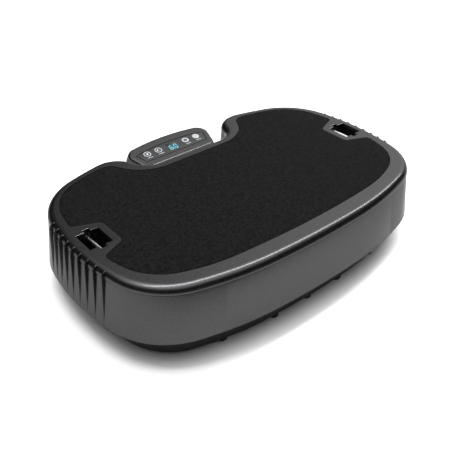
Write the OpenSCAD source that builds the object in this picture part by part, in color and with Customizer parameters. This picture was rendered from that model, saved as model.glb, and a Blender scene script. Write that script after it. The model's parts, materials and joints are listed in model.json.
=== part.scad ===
// Compact vibration plate: a sprung platform with a rotating unbalance, on a low base with a console.
// Origin: on the floor, under the middle of the whole machine. +Z is up and -Y is the front.

/* [Heights] */
// Height of the mat's surface above the floor
deck_h = 154; // [152:1:158]
// Height of the rubber feet
foot_h = 10; // [9:1:11]
// Height of the skirt's lower edge above the floor
skirt_low = 51; // [48:1:54]

/* [Shell] */
// Radius of the rolled edge round the top
edge_r = 13; // [12:0.5:14]
// Wall thickness of the moulded shells
wall = 3; // [2.5:0.5:3.5]
// How far the skirt leans outwards at the front and back
flare = 7.5; // [6:0.5:8]
// How much further it leans outwards at the two ends
flare_ends = 3.5; // [2:0.5:4]
// How far the base stands back under the skirt's rim line
base_inset = 17; // [16:1:20]

/* [Fins] */
// Number of fins on each end, an odd number
fin_count = 9; // [7:2:11]
// Thickness of a fin
fin_t = 2.6; // [2:0.2:3]
// Distance from fin to fin
fin_pitch = 20.5; // [19:0.5:22]

/* [Mat and strap slots] */
// Thickness of the mat
mat_t = 3; // [2.5:0.5:3]
// Gap between the mat and the edge of its recess
mat_gap = 0.8; // [0.5:0.1:1]
// Size of a strap slot along X
slot_x = 41; // [38:1:42]
// Size of a strap slot along Y
slot_y = 46; // [44:1:48]
// Distance of a slot's middle from the centre line
slot_at = 294; // [293:0.5:295]
// Diameter of the strap bars
strap_bar_d = 8; // [7:0.5:9]

/* [Console] */
// Tilt of the console's face towards the front
console_tilt = 10; // [8:1:12]
// Thickness of the console's housing
console_t = 16; // [15:0.5:17]
// Radius of a key
key_r = 7.6; // [7:0.1:7.8]
// Travel of a key
key_travel = 0.7; // [0.5:0.1:0.7]

/* [Motor] */
// Outer radius of the motor's case
motor_r = 36; // [34:1:36]
// Radius of the shaft
shaft_r = 6; // [5.5:0.5:6.5]
// Radius of the eccentric weights
weight_r = 32; // [28:1:33]
// Radial running clearance of the shaft in its bearings
shaft_gap = 0.03; // [0.02:0.01:0.08]

/* [Hidden] */
eps = 0.01;

// Outlines are chains of arcs: [radius, sweep], with a negative radius for a hollow arc and [0, length]
// for a straight run. A chain is the right half, from the front's middle to the back's middle.
rim_arcs = [[1800, 3], [600, 14], [125, 61], [475, 23], [130, 61], [600, 6.6], [54, 85.4], [-42, 74]];
rim_front = -219.5;
mat_arcs = [[1750, 5], [300, 17.4], [97, 53], [384, 28], [98, 56.3], [323, 12], [25, 76.8], [-83, 68.5]];
mat_front = -180.5;
console_arcs = [[0, 72], [16, 74], [0, 28], [24, 96], [434, 10]];
console_flare = 3;
console_front = -34.5;
end_arc_r = 475;

// Heights worked out from the top down
mat_z = deck_h - mat_t;
cover_z = mat_z - 4;
plate_z = cover_z - 3;
channel_z = plate_z - 20;
upper_plate_z = channel_z - 3;
crease_z = deck_h - edge_r;
crease_gap = 0.6;
pan_z = foot_h;
pan_wall_z = skirt_low + 15;
pedestal_z = upper_plate_z - 29;
rubber_z = pedestal_z + 3;

// The console's place: its face passes through this line
console_y = 197;
console_z = deck_h - 17;
console_edge_r = 6;
tray_t = 2;
key_xs = [-60, -33.5, 33.5, 60];
key_v = 3;
key_stem_r = 4;
window_size = [24, 20];
window_v = 0.5;
panel_t = 1.5;
board_w = -11;
console_rear = console_y + (40.9 + console_flare) * cos(console_tilt) + (console_t + tray_t) * sin(console_tilt);
deck_y = -(console_rear + rim_front - flare) / 2;

// Tower under the console
tower_x = 58;
tower_y = [170, 226];
tower_screw_xy = [for (x = [-49, 49], y = [182, 214]) [x, y]];
boss_r = 7;
inlet_x = -24;
inlet_z = 62;
switch_x = 28;
switch_pivot = [tower_y[1] - 2.2, inlet_z];
rocker_rest = 11;

// Motor, with its shaft along X
motor_y = -20;
motor_z = 82;
motor_len = 110;
end_t = 8;
bearing_r = 13;
weight_x = 83;
weight_t = 22;

// Repeated places
isolator_xy = [[-210, -95], [210, -95], [-210, 95], [210, 95]];
isolator_r = 16;
foot_r = 10.5;
foot_xy = [[-78, -189], [0, -190], [78, -189], [-180, -176], [180, -176], [-268, -126], [268, -126],
    [-268, 124], [268, 124], [-165, 176], [165, 176], [0, 216]];
slot_mid_y = 2;
fin_mid_y = 3;
bar_x = slot_at - 1;
bar_z = deck_h - 14;
cup_low = bar_z - 28;
deck_screw_xy = [[-240, -120], [240, -120], [-240, 120], [240, 120], [-90, -150], [90, -150], [-150, 130],
    [150, 130]];

// ---- Outline functions ----

function left_of(h) = [-sin(h), cos(h)];
function arc_steps(r, sweep) = max(1, ceil(sweep / (abs(r) > 300 ? 5 : 7.5)));

// Points of one half of a chain, moved outwards by d
function half_points(arcs, p, h, d, i = 0) =
    i == len(arcs) ? [] :
    let(r = arcs[i][0], a = arcs[i][1])
    r == 0
        ? let(q = p + a * [cos(h), sin(h)]) concat([q - d * left_of(h)], half_points(arcs, q, h, d, i + 1))
        : let(s = sign(r), c = p + r * left_of(h), n = arc_steps(r, a), h2 = h + s * a)
          concat([for (k = [1:n]) c - (r + d) * left_of(h + s * a * k / n)],
              half_points(arcs, c - r * left_of(h2), h2, d, i + 1));

function outline(arcs, front, d = 0) =
    let(half = half_points(arcs, [0, front], 0, d), n = len(half))
    concat([[0, front - d]], half, [for (i = [n - 1:-1:0]) [-half[i].x, half[i].y]]);

function rim(d) = outline(rim_arcs, rim_front, d);

// One ring of the shell at height z: t is 0 at the crease and 1 at the skirt's lower edge
function shell_ring(d, t, z) =
    [for (p = rim(d + flare * t)) [p.x * (1 + t * flare_ends / 335), p.y, z]];

function flat_ring(points, z) = [for (p = points) [p.x, p.y, z]];

// Corner i of a polygon rounded with radius r
function rounded_corner(pts, i, r, n = 5) =
    let(m = len(pts), a = pts[(i + m - 1) % m], b = pts[i], c = pts[(i + 1) % m],
        u = (a - b) / norm(a - b), v = (c - b) / norm(c - b), half = acos(u * v) / 2,
        mid = b + (u + v) / norm(u + v) * r / sin(half), p = b + u * r / tan(half),
        q = b + v * r / tan(half), h1 = atan2(p.y - mid.y, p.x - mid.x),
        h2 = atan2(q.y - mid.y, q.x - mid.x), turn = (h2 - h1 + 540) % 360 - 180)
    [for (k = [0:n]) mid + r * [cos(h1 + turn * k / n), sin(h1 + turn * k / n)]];

function rounded(pts, r) = [for (i = [0:len(pts) - 1]) each rounded_corner(pts, i, r)];

// ---- Shape modules ----

module on_deck() { translate([0, deck_y, 0]) children(); }

module console_frame() {
    on_deck() translate([0, console_y, console_z]) rotate([console_tilt, 0, 0]) children();
}

// Closed solid through a stack of rings, lowest first
module stack(rings) {
    n = len(rings[0]);
    m = len(rings);
    polyhedron([for (ring = rings) each ring],
        concat([[for (i = [0:n - 1]) i]], [[for (i = [n - 1:-1:0]) (m - 1) * n + i]],
            [for (j = [0:m - 2], i = [0:n - 1])
                let(k = (i + 1) % n) [j * n + k, j * n + i, (j + 1) * n + i, (j + 1) * n + k]]),
        convexity = 8);
}

// Closed tube-like solid: the rings are the corners of its section, in order
module sleeve(rings) {
    n = len(rings[0]);
    m = len(rings);
    polyhedron([for (ring = rings) each ring],
        [for (j = [0:m - 1], i = [0:n - 1])
            let(k = (i + 1) % n, a = (j + 1) % m) [j * n + k, j * n + i, a * n + i, a * n + k]],
        convexity = 8);
}

module slab(points, z0, z1) { translate([0, 0, z0]) linear_extrude(z1 - z0) polygon(points); }

module block(size, at) { translate(at - size / 2) cube(size); }

module rod_x(r, x0, x1, y, z) {
    translate([x0, y, z]) rotate([0, 90, 0]) cylinder(r = r, h = x1 - x0, $fn = 64);
}

module post(r, xy, z0, z1, fn = 48) { translate([xy.x, xy.y, z0]) cylinder(r = r, h = z1 - z0, $fn = fn); }

module both_ends() {
    children();
    mirror([1, 0, 0]) children();
}

// A row of fins on both ends; the profile's x is measured from the rim line, its y is the height
module fins(profile) {
    step = fin_pitch / end_arc_r * 180 / PI;
    last = (fin_count - 1) / 2;
    both_ends() for (i = [-last:last])
        translate([rim_reach - end_arc_r, fin_mid_y, 0]) rotate(i * step) translate([end_arc_r, fin_t / 2, 0])
            rotate([90, 0, 0]) linear_extrude(fin_t) polygon(profile);
}
rim_reach = max([for (p = rim(0)) p.x]);
notch_floor = let(half = half_points(rim_arcs, [0, rim_front], 0, 0)) half[len(half) - 1].y;

// ---- Base ----

module base_pan() {
    color("#141414") on_deck() difference() {
        union() {
            slab(rim(-base_inset), pan_z, pan_wall_z);
            slab(tongue_points(0), pan_z, pan_z + 15);
        }
        slab(rim(-base_inset - wall), pan_z + wall, pan_wall_z + 1);
        difference() {
            slab(tongue_points(-wall), pan_z + wall, pan_wall_z);
            slab(rim(-base_inset + eps), pan_z, pan_wall_z);
        }
        // way through for the supply lead
        block([30, 12, 12], [0, notch_floor - base_inset - wall / 2, pan_z + wall + 6]);
        for (p = tower_screw_xy) post(1.8, p, pan_z - 1, pan_z + wall + 1);
        for (p = foot_xy) post(1.8, p, pan_z - 1, pan_z + wall + 1);
    }
    color("#141414") on_deck() {
        for (p = isolator_xy) difference() {
            union() {
                post(isolator_r + 4, p, pan_z + wall, pedestal_z, 64);
                for (a = [0:60:120]) translate([p.x, p.y, pan_z + wall]) rotate(a)
                    translate([-26, -1.5, 0]) cube([52, 3, 30]);
            }
            post(isolator_r, p, pan_z + wall - 1, pedestal_z - 4, 64);
            post(4, p, pedestal_z - 5, pedestal_z + 1);
        }
        for (p = board_screw_xy) difference() {
            post(4, p, pan_z + wall, board_z);
            post(1.5, p, pan_z + wall + 2, board_z + 1);
        }
    }
}

function tongue_points(d) =
    rounded([[-66 - d, 110], [66 + d, 110], [66 + d, 232 + d], [-66 - d, 232 + d]], 8 + d);

module rubber_feet() {
    color("#0c0c0c") on_deck() for (p = foot_xy) difference() {
        translate([p.x, p.y, 0]) cylinder(r1 = foot_r - 1, r2 = foot_r, h = foot_h, $fn = 48);
        post(4.2, p, -1, 3.5);
        post(1.8, p, 0, foot_h + 1);
    }
}

module foot_screws() {
    color("silver") on_deck() for (p = foot_xy) {
        post(3.6, p, 1.5, 3.5);
        post(1.8, p, 3.5, pan_z + wall);
    }
}

module isolator_mounts() {
    color("#1b1b1b") on_deck() for (p = isolator_xy)
        translate([p.x, p.y, rubber_z]) rotate_extrude($fn = 64) polygon([[0, 0], [isolator_r, 0],
            [isolator_r - 2.5, 8], [isolator_r - 2.5, 18], [isolator_r, 26], [0, 26]]);
}

module isolator_plate(p, z, stud_z0, stud_z1) {
    post(isolator_r, p, z, z + 3, 64);
    post(4, p, stud_z0, stud_z1);
}

module isolator_lower_plates() {
    color("silver") on_deck() for (p = isolator_xy)
        isolator_plate(p, pedestal_z, pedestal_z - 12, pedestal_z + 1);
}

module isolator_upper_plates() {
    color("silver") on_deck() for (p = isolator_xy)
        isolator_plate(p, upper_plate_z, upper_plate_z + 2, channel_z + 11);
}

// ---- Console tower, inlet and switch ----

module console_tower() {
    depth = tower_y[1] - tower_y[0];
    mid = (tower_y[0] + tower_y[1]) / 2;
    low = pan_z + wall;
    color("#161616") difference() {
        on_deck() slab(rounded([[-tower_x, tower_y[0]], [tower_x, tower_y[0]], [tower_x, tower_y[1]],
            [-tower_x, tower_y[1]]], 7), low, deck_h);
        on_deck() slab(rounded([[-tower_x + wall, tower_y[0] + wall], [tower_x - wall, tower_y[0] + wall],
            [tower_x - wall, tower_y[1] - wall], [-tower_x + wall, tower_y[1] - wall]], 4),
            low - 1, deck_h + 1);
        // cut off along the console's underside
        console_frame() translate([-100, -70, -console_t - tray_t]) cube([200, 140, 80]);
        on_deck() {
            block([27.4, 20, 31.4], [inlet_x, tower_y[1], inlet_z - 5]);
            block([21.4, 20, 15.4], [switch_x, tower_y[1], inlet_z]);
            block([30, 20, 14], [0, tower_y[0], low + 6]);
            for (s = [-1, 1]) translate([inlet_x + s * 20, tower_y[1] + 1, inlet_z]) rotate([90, 0, 0])
                cylinder(r = 1.5, h = 6, $fn = 24);
        }
    }
    color("#161616") on_deck() for (p = tower_screw_xy) difference() {
        post(boss_r, p, low, low + 20);
        post(1.8, p, low - 1, low + 12);
    }
}

module tower_screws() {
    color("silver") on_deck() for (p = tower_screw_xy) {
        post(3.6, p, pan_z - 2, pan_z);
        post(1.8, p, pan_z, pan_z + wall + 12);
    }
}

module power_inlet() {
    face = tower_y[1];
    color("#101010") on_deck() difference() {
        union() {
            translate([0, face + 2.5, 0]) rotate([90, 0, 0]) linear_extrude(2.5)
                polygon([for (p = rounded([[-25, -24], [25, -24], [25, 12], [-25, 12]], 3))
                    [p.x + inlet_x, p.y + inlet_z]]);
            block([27, 24, 31], [inlet_x, face - 12, inlet_z - 5]);
        }
        // the socket's cavity, then the drawer's seat below it
        block([24, 20, 16.5], [inlet_x, face + 2.5 - 8.5, inlet_z]);
        block([22, 22, 8], [inlet_x, face - 8, inlet_z - 15.5]);
        for (s = [-1, 1]) translate([inlet_x + s * 20, face + 4, inlet_z]) rotate([90, 0, 0])
            cylinder(r = 1.6, h = 8, $fn = 24);
    }
}

module inlet_pins() {
    color("#c8a850") on_deck() for (p = [[-7, -2], [0, 2], [7, -2]])
        block([2, 12, 4], [inlet_x + p.x, tower_y[1] - 9.5, inlet_z + p.y]);
}

module inlet_screws() {
    color("silver") on_deck() for (s = [-1, 1])
        translate([inlet_x + s * 20, tower_y[1], inlet_z]) rotate([90, 0, 0]) {
            translate([0, 0, -4.3]) cylinder(r = 2.8, h = 1.8, $fn = 32);
            translate([0, 0, -2.6]) cylinder(r = 1.5, h = 8, $fn = 24);
        }
}

module fuse_drawer() {
    color("#1c1c1c") on_deck() {
        block([21.6, 18, 7.6], [inlet_x, tower_y[1] - 7, inlet_z - 15.5]);
        block([10, 1.5, 2], [inlet_x, tower_y[1] + 2.7, inlet_z - 15.5]);
    }
}

module switch_frame() {
    face = tower_y[1];
    color("#101010") on_deck() difference() {
        union() {
            block([25, 1.8, 19], [switch_x, face + 0.9, inlet_z]);
            block([21, 16, 15], [switch_x, face - 8, inlet_z]);
        }
        block([17.6, 14, 12.6], [switch_x, face - 2, inlet_z]);
        translate([switch_x - 12, switch_pivot.x, switch_pivot.y]) rotate([0, 90, 0])
            cylinder(r = 1.55, h = 24, $fn = 32);
    }
}

// The rocker is drawn leaning by rocker_rest, switched off
module switch_rocker() {
    color("#202020") on_deck()
        translate([switch_x, switch_pivot.x, switch_pivot.y]) rotate([-rocker_rest, 0, 0]) {
            rotate([90, 0, 90]) translate([0, 0, -8.5]) linear_extrude(17)
                polygon([[-3, -3.5], [-3, 3.5], [1.6, 5.3], [3.9, 5.1], [2.4, 0], [3.9, -5.1], [1.6, -5.3]]);
            rotate([0, 90, 0]) translate([0, 0, -10.4]) cylinder(r = 1.5, h = 20.8, $fn = 32);
        }
}

// ---- Console ----

module console_outline_slab(d, w0, w1) { slab(outline(console_arcs, console_front, d), w0, w1); }

function panel_points(d) = concat(
    [[73 + d, -15.7 - d], [81.5 + d, 9.1]],
    [for (k = [1:7]) let(x = 81.5 * (1 - k / 4)) [x * (1 + d / 90), 17.4 + d - 8.3 * pow(x / 81.5, 2)]],
    [[-81.5 - d, 9.1], [-73 - d, -15.7 - d]]);

console_screw_xv = [[-70, -24], [70, -24], [-74, 16], [74, 16]];

module console_housing() {
    rings = [for (q = concat([[console_flare, -console_t]], [for (a = [0:15:90])
        [console_edge_r * (cos(a) - 1), console_edge_r * (sin(a) - 1)]]))
        flat_ring(outline(console_arcs, console_front, q[0]), q[1])];
    color("#4a4a4a") console_frame() {
        difference() {
            stack(rings);
            difference() {
                console_outline_slab(-2.5, -console_t - 1, -3.2);
                for (p = console_screw_xv) post(4, p, -console_t, 0);
            }
            slab(panel_points(0.3), -panel_t, 1);
            block([window_size.x - 2, window_size.y - 3, 12], [0, window_v, -3]);
            for (x = key_xs) post(key_stem_r + 0.3, [x, key_v], -8, 1);
            for (p = console_screw_xv) post(1.5, p, -console_t - 1, -5);
        }
    }
}

module console_tray() {
    color("#202020") console_frame() difference() {
        console_outline_slab(console_flare, -console_t - tray_t, -console_t);
        block([90, 40, 10], [0, 0, -console_t]);
        for (p = console_screw_xv) post(1.6, p, -console_t - tray_t - 1, -console_t + 1);
    }
}

module control_panel() {
    color("#5a5a5a") console_frame() difference() {
        slab(panel_points(0), -panel_t, -0.1);
        block([window_size.x, window_size.y, 8], [0, window_v, 0]);
        for (x = key_xs) post(key_r + 0.4, [x, key_v], -3, 1);
    }
}

module display_window() {
    color("#05080a") console_frame()
        block([window_size.x - 0.4, window_size.y - 0.4, 1.2], [0, window_v, -panel_t + 0.6]);
}

module display_module() {
    color("#101418") console_frame()
        block([window_size.x - 3, window_size.y - 5, 7.6], [0, window_v, board_w + 1.6 + 3.8]);
}

module console_board() {
    color("#1d5a34") console_frame() difference() {
        block([134, 30, 1.6], [0, 2, board_w + 0.8]);
        for (x = [-62, 62]) post(1.5, [x, -10], board_w - 1, board_w + 3);
    }
}

module key_switches() {
    color("#333333") console_frame() for (x = key_xs) block([6, 6, 3.2], [x, key_v, board_w + 3.2]);
}

module console_screws() {
    color("silver") console_frame() for (p = console_screw_xv) {
        post(3, p, -console_t - tray_t - 1.6, -console_t - tray_t);
        post(1.5, p, -console_t - tray_t, -6);
    }
}

module key(x) {
    top = 0.7;
    disc_t = 1.4;
    console_frame() {
        translate([x, key_v, top - disc_t]) cylinder(r = key_r, h = disc_t, $fn = 64);
        post(key_stem_r, [x, key_v], board_w + 4.8 + key_travel + 0.1, top - disc_t + 0.1);
    }
}

module start_key() { color("#b8b8b8") key(key_xs[0]); }
module program_key() { color("#a8a8a8") key(key_xs[1]); }
module intensity_key() { color("#a8a8a8") key(key_xs[2]); }
module time_key() { color("#c0c0c0") key(key_xs[3]); }

// ---- Motor driver, in the pan ----

board_z = pan_z + wall + 10;
board_mid = [-155, -5];
board_size = [86, 112];
board_screw_xy = [for (sx = [-1, 1], sy = [-1, 1])
    board_mid + [sx * (board_size.x / 2 - 5), sy * (board_size.y / 2 - 5)]];

module control_board() {
    color("#1d5a34") on_deck() difference() {
        block([board_size.x, board_size.y, 1.6], [board_mid.x, board_mid.y, board_z + 0.8]);
        for (p = board_screw_xy) post(1.5, p, board_z - 1, board_z + 3);
    }
}

module board_screws() {
    color("silver") on_deck() for (p = board_screw_xy) {
        post(3, p, board_z + 1.6, board_z + 3.4);
        post(1.5, p, board_z - 7, board_z + 1.6);
    }
}

module heat_sink() {
    base = [board_mid.x - 26, board_mid.y, board_z + 1.6];
    color("#9a9a9a") on_deck() {
        translate(base + [-3, -35, 0]) cube([5, 70, 30]);
        for (y = [-35:7.5:35]) translate(base + [-13, y - 1, 0]) cube([10.5, 2, 30]);
    }
}

module drive_transistors() {
    color("#222222") on_deck() for (y = [-22, 0, 22])
        block([4.5, 15, 20], [board_mid.x - 26 + 2 + 2.25, board_mid.y + y, board_z + 1.6 + 14]);
}

module supply_capacitor() {
    color("#24304a") on_deck() post(11, [board_mid.x + 18, board_mid.y - 32], board_z + 1.6, board_z + 34);
}

module supply_transformer() {
    at = [board_mid.x + 14, board_mid.y + 22, board_z + 1.6 + 15];
    color("#6a5a3a") on_deck() {
        block([32, 40, 22], at);
        block([24, 28, 30], at);
    }
}

// Lead that lies on the pan's floor from the tower to the driver board
module supply_lead() {
    r = 3;
    z = pan_z + wall + r;
    corners = [[0, 190], [0, 70], [-100, 70], [-100, 20]];
    color("#151515") on_deck() {
        for (i = [0:2]) {
            a = corners[i];
            b = corners[i + 1];
            translate([a.x, a.y, z]) rotate([0, 90, atan2(b.y - a.y, b.x - a.x)])
                cylinder(r = r, h = norm(b - a), $fn = 24);
        }
        for (c = corners) translate([c.x, c.y, z]) sphere(r = r, $fn = 24);
    }
}

// ---- Platform ----

cutout_half = 33;
cutout_in = slot_at - 34;

// Room left in the mat round the right-hand slot, moved outwards by d
function cutout_points(d) = concat(
    rounded_corner([[330, slot_mid_y - 62 - d], [cutout_in - d, slot_mid_y - cutout_half - d],
        [cutout_in - d, slot_mid_y + cutout_half + d], [330, slot_mid_y + 62 + d]], 1, 10),
    rounded_corner([[330, slot_mid_y - 62 - d], [cutout_in - d, slot_mid_y - cutout_half - d],
        [cutout_in - d, slot_mid_y + cutout_half + d], [330, slot_mid_y + 62 + d]], 2, 10),
    [[330, slot_mid_y + 62 + d], [330, slot_mid_y - 62 - d]]);

module mat_shape(d) {
    difference() {
        polygon(outline(mat_arcs, mat_front, d));
        both_ends() polygon(cutout_points(-d));
    }
}

module slot_holes(z0, z1) {
    both_ends() {
        translate([slot_at - slot_x / 2, slot_mid_y - slot_y / 2, z0]) cube([slot_x, slot_y, z1 - z0]);
        translate([bar_x - 5.5, slot_mid_y - slot_y / 2 - 7, z0]) cube([11, slot_y + 14, z1 - z0]);
    }
}

// The loft runs a little past the top and the underside, which are then cut flat
module top_cover() {
    spare = 2;
    low = crease_z - crease_gap;
    rings = concat([flat_ring(rim(-1.5), low - spare), flat_ring(rim(-1.5), crease_z)],
        [for (a = [0:15:75]) flat_ring(rim(edge_r * (cos(a) - 1)), crease_z + edge_r * sin(a))],
        [for (z = [0.05, spare]) flat_ring(rim(-edge_r), deck_h + z)]);
    color("#505050") on_deck() difference() {
        union() {
            stack(rings);
            fins([[-9, deck_h - edge_r * 0.2], [-4.6, deck_h - 1.6], [0.4, deck_h - 4.6], [3.6, deck_h - 9],
                [4.6, crease_z], [4.6, low - spare], [-4, low - spare]]);
        }
        slab(rim(10), deck_h, deck_h + 2 * spare);
        slab(rim(10), low - 2 * spare, low);
        translate([0, 0, mat_z]) linear_extrude(mat_t + 1) mat_shape(mat_gap);
        slab(rim(-4), low - 2 * spare, cover_z);
        slot_holes(cover_z - 1, deck_h + 1);
        for (p = deck_screw_xy) post(2, p, cover_z - 1, cover_z + 3);
    }
}

module side_skirt() {
    top = crease_z - crease_gap;
    rings = [shell_ring(-0.6, 0, top), shell_ring(-11, 0, top), shell_ring(-11, 0, top - wall),
        shell_ring(-0.6 - wall, 0, top - wall), shell_ring(-wall, 1, skirt_low), shell_ring(0, 1, skirt_low)];
    low = flare + flare_ends;
    color("#585858") on_deck() union() {
        sleeve(rings);
        fins([[-2, top], [4.6, top], [low - 0.6, skirt_low + 3], [low - 2, skirt_low + 3]]);
    }
}

module foot_mat() {
    color("#181818") on_deck() translate([0, 0, mat_z]) linear_extrude(mat_t - 0.2) mat_shape(0);
}

module strap_cup() {
    w = slot_x + 10;
    l = slot_y + 20;
    color("#0e0e0e") on_deck() difference() {
        translate([slot_at - w / 2, slot_mid_y - l / 2, cup_low]) cube([w, l, cover_z - cup_low]);
        translate([slot_at - w / 2 + 2.5, slot_mid_y - slot_y / 2 - 1, cup_low + 2.5])
            cube([w - 5, slot_y + 2, deck_h]);
        translate([bar_x - strap_bar_d / 2, slot_mid_y - slot_y / 2 - 7, bar_z])
            cube([strap_bar_d, slot_y + 14, deck_h]);
        translate([bar_x, slot_mid_y + slot_y / 2 + 7, bar_z]) rotate([90, 0, 0])
            cylinder(d = strap_bar_d, h = slot_y + 14, $fn = 48);
    }
}

module strap_cup_right() { strap_cup(); }
module strap_cup_left() { mirror([1, 0, 0]) strap_cup(); }

module strap_bar() {
    color("#d8d8d8") on_deck() translate([bar_x, slot_mid_y + slot_y / 2 + 6.8, bar_z]) rotate([90, 0, 0])
        cylinder(d = strap_bar_d, h = slot_y + 13.6, $fn = 48);
}

module strap_bar_right() { strap_bar(); }
module strap_bar_left() { mirror([1, 0, 0]) strap_bar(); }

module deck_plate() {
    color("#8a8a8a") on_deck() difference() {
        slab(rim(-16), plate_z, cover_z);
        both_ends() translate([slot_at - slot_x / 2 - 6, slot_mid_y - slot_y / 2 - 11, plate_z - 1])
            cube([80, slot_y + 22, 6]);
        for (p = deck_screw_xy) post(2.2, p, plate_z - 1, cover_z + 1);
        for (p = bolt_xy) post(3.5, p, plate_z - 1, cover_z + 1);
    }
}

// A channel with its open side down
module channel(size) {
    difference() {
        block(size, [0, 0, size.z / 2]);
        block([size.x + 1, size.y - 5, size.z], [0, 0, size.z / 2 - 2.5]);
    }
}

module deck_channels() {
    color("#6f6f6f") on_deck() translate([0, 0, channel_z]) {
        for (y = [-95, 95]) translate([0, y, 0]) channel([470, 34, 20]);
        for (x = [-135, 135]) translate([x, 0, 0]) rotate(90) channel([156, 30, 20]);
        for (p = isolator_xy) difference() {
            block([38, 29, 3], [p.x, p.y, 1.5]);
            post(4, p, -1, 4);
        }
    }
}

module isolator_nuts() {
    color("silver") on_deck() for (p = isolator_xy) difference() {
        translate([p.x, p.y, channel_z + 3]) cylinder(r = 7.5, h = 6.5, $fn = 6);
        post(4, p, channel_z + 2, channel_z + 10);
    }
}

module deck_screws() {
    color("silver") on_deck() for (p = deck_screw_xy) {
        post(4, p, plate_z - 2.2, plate_z);
        post(2, p, plate_z, cover_z + 2.5);
    }
}

// ---- Motor ----

bolt_xy = [for (sx = [-1, 1], sy = [-1, 1]) [sx * 28, motor_y + sy * (motor_r + 8.5)]];
strap_z = motor_z - 6;

module motor_bracket() {
    color("#9d9d9d") on_deck() difference() {
        block([76, 2 * motor_r + 28, plate_z - motor_z + 1], [0, motor_y, (plate_z + motor_z - 1) / 2]);
        rod_x(motor_r, -60, 60, motor_y, motor_z);
        for (s = [-1, 1]) block([20, 60, 20], [s * 26, motor_y, plate_z - 12]);
        for (p = bolt_xy) post(3.5, p, motor_z - 10, plate_z + 1);
    }
}

module motor_strap() {
    color("#8f8f8f") on_deck() difference() {
        union() {
            intersection() {
                rod_x(motor_r + 3, -36, 36, motor_y, motor_z);
                block([80, 100, 50], [0, motor_y, motor_z - 26]);
            }
            block([72, 2 * motor_r + 28, 5], [0, motor_y, motor_z - 3.5]);
        }
        rod_x(motor_r, -60, 60, motor_y, motor_z);
        for (p = bolt_xy) post(3.5, p, motor_z - 20, motor_z + 1);
    }
}

module bracket_bolts() {
    color("silver") on_deck() for (p = bolt_xy) {
        translate([p.x, p.y, strap_z - 5.5]) cylinder(r = 6, h = 5.5, $fn = 6);
        post(3.5, p, strap_z - 0.5, cover_z - 0.5);
    }
}

module motor_case() {
    color("#3a3a3c") on_deck() difference() {
        rod_x(motor_r, -motor_len / 2, motor_len / 2, motor_y, motor_z);
        rod_x(motor_r - 3, -motor_len / 2 - 1, motor_len / 2 + 1, motor_y, motor_z);
    }
}

module motor_end() {
    color("#a5a5a8") on_deck() difference() {
        rod_x(motor_r, motor_len / 2, motor_len / 2 + end_t, motor_y, motor_z);
        rod_x(bearing_r, motor_len / 2 - 1, motor_len / 2 + end_t + 1, motor_y, motor_z);
    }
}

module motor_end_right() { motor_end(); }
module motor_end_left() { mirror([1, 0, 0]) motor_end(); }

module bearing() {
    color("#cccccc") on_deck() difference() {
        rod_x(bearing_r, motor_len / 2, motor_len / 2 + end_t, motor_y, motor_z);
        rod_x(shaft_r + shaft_gap, motor_len / 2 - 1, motor_len / 2 + end_t + 1, motor_y, motor_z);
    }
}

module bearing_right() { bearing(); }
module bearing_left() { mirror([1, 0, 0]) bearing(); }

module stator() {
    color("#55504a") on_deck() difference() {
        rod_x(motor_r - 3, -30, 30, motor_y, motor_z);
        rod_x(22.6, -31, 31, motor_y, motor_z);
    }
}

module stator_windings() {
    color("#b5682c") on_deck() both_ends() difference() {
        rod_x(31, 30, 42, motor_y, motor_z);
        rod_x(24, 29, 43, motor_y, motor_z);
    }
}

module motor_shaft() { color("#c4c4c4") on_deck() rod_x(shaft_r, -104, 104, motor_y, motor_z); }

module rotor_core() {
    color("#7a7a7a") on_deck() difference() {
        rod_x(22, -30, 30, motor_y, motor_z);
        rod_x(shaft_r, -31, 31, motor_y, motor_z);
    }
}

// Heavy side down at rest
module eccentric() {
    x0 = weight_x - weight_t / 2;
    x1 = weight_x + weight_t / 2;
    color("#68686c") on_deck() difference() {
        union() {
            intersection() {
                rod_x(weight_r, x0, x1, motor_y, motor_z);
                block([weight_t, 2 * weight_r, weight_r], [weight_x, motor_y, motor_z - weight_r / 2]);
            }
            rod_x(12, x0, x1, motor_y, motor_z);
        }
        rod_x(shaft_r, x0 - 1, x1 + 1, motor_y, motor_z);
        post(2.5, [weight_x, motor_y], motor_z, motor_z + 20);
    }
}

module eccentric_right() { eccentric(); }
module eccentric_left() { mirror([1, 0, 0]) eccentric(); }

module weight_screws() {
    color("#222222") on_deck() both_ends() post(2.5, [weight_x, motor_y], motor_z + shaft_r, motor_z + 13);
}

base_pan();
rubber_feet();
foot_screws();
isolator_mounts();
isolator_lower_plates();
console_tower();
tower_screws();
console_housing();
console_tray();
control_panel();
display_window();
display_module();
console_board();
key_switches();
console_screws();
power_inlet();
inlet_pins();
inlet_screws();
fuse_drawer();
switch_frame();
switch_rocker();
control_board();
heat_sink();
drive_transistors();
supply_capacitor();
supply_transformer();
board_screws();
supply_lead();
start_key();
program_key();
intensity_key();
time_key();
top_cover();
side_skirt();
foot_mat();
strap_cup_left();
strap_cup_right();
strap_bar_left();
strap_bar_right();
deck_plate();
deck_channels();
deck_screws();
isolator_upper_plates();
isolator_nuts();
motor_bracket();
motor_strap();
bracket_bolts();
motor_case();
motor_end_left();
motor_end_right();
bearing_left();
bearing_right();
stator();
stator_windings();
motor_shaft();
rotor_core();
eccentric_left();
eccentric_right();
weight_screws();
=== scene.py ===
# %% [markdown]
# # A compact vibration plate
# The machine is a low sprung platform with a rolled edge, a black foam mat on top, nine fins on each
# end, and a small console in a notch at the back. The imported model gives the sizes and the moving
# bodies. This lesson makes the visible skins and their finishes around it.

# %% Load the frame
import json
import math

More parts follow.
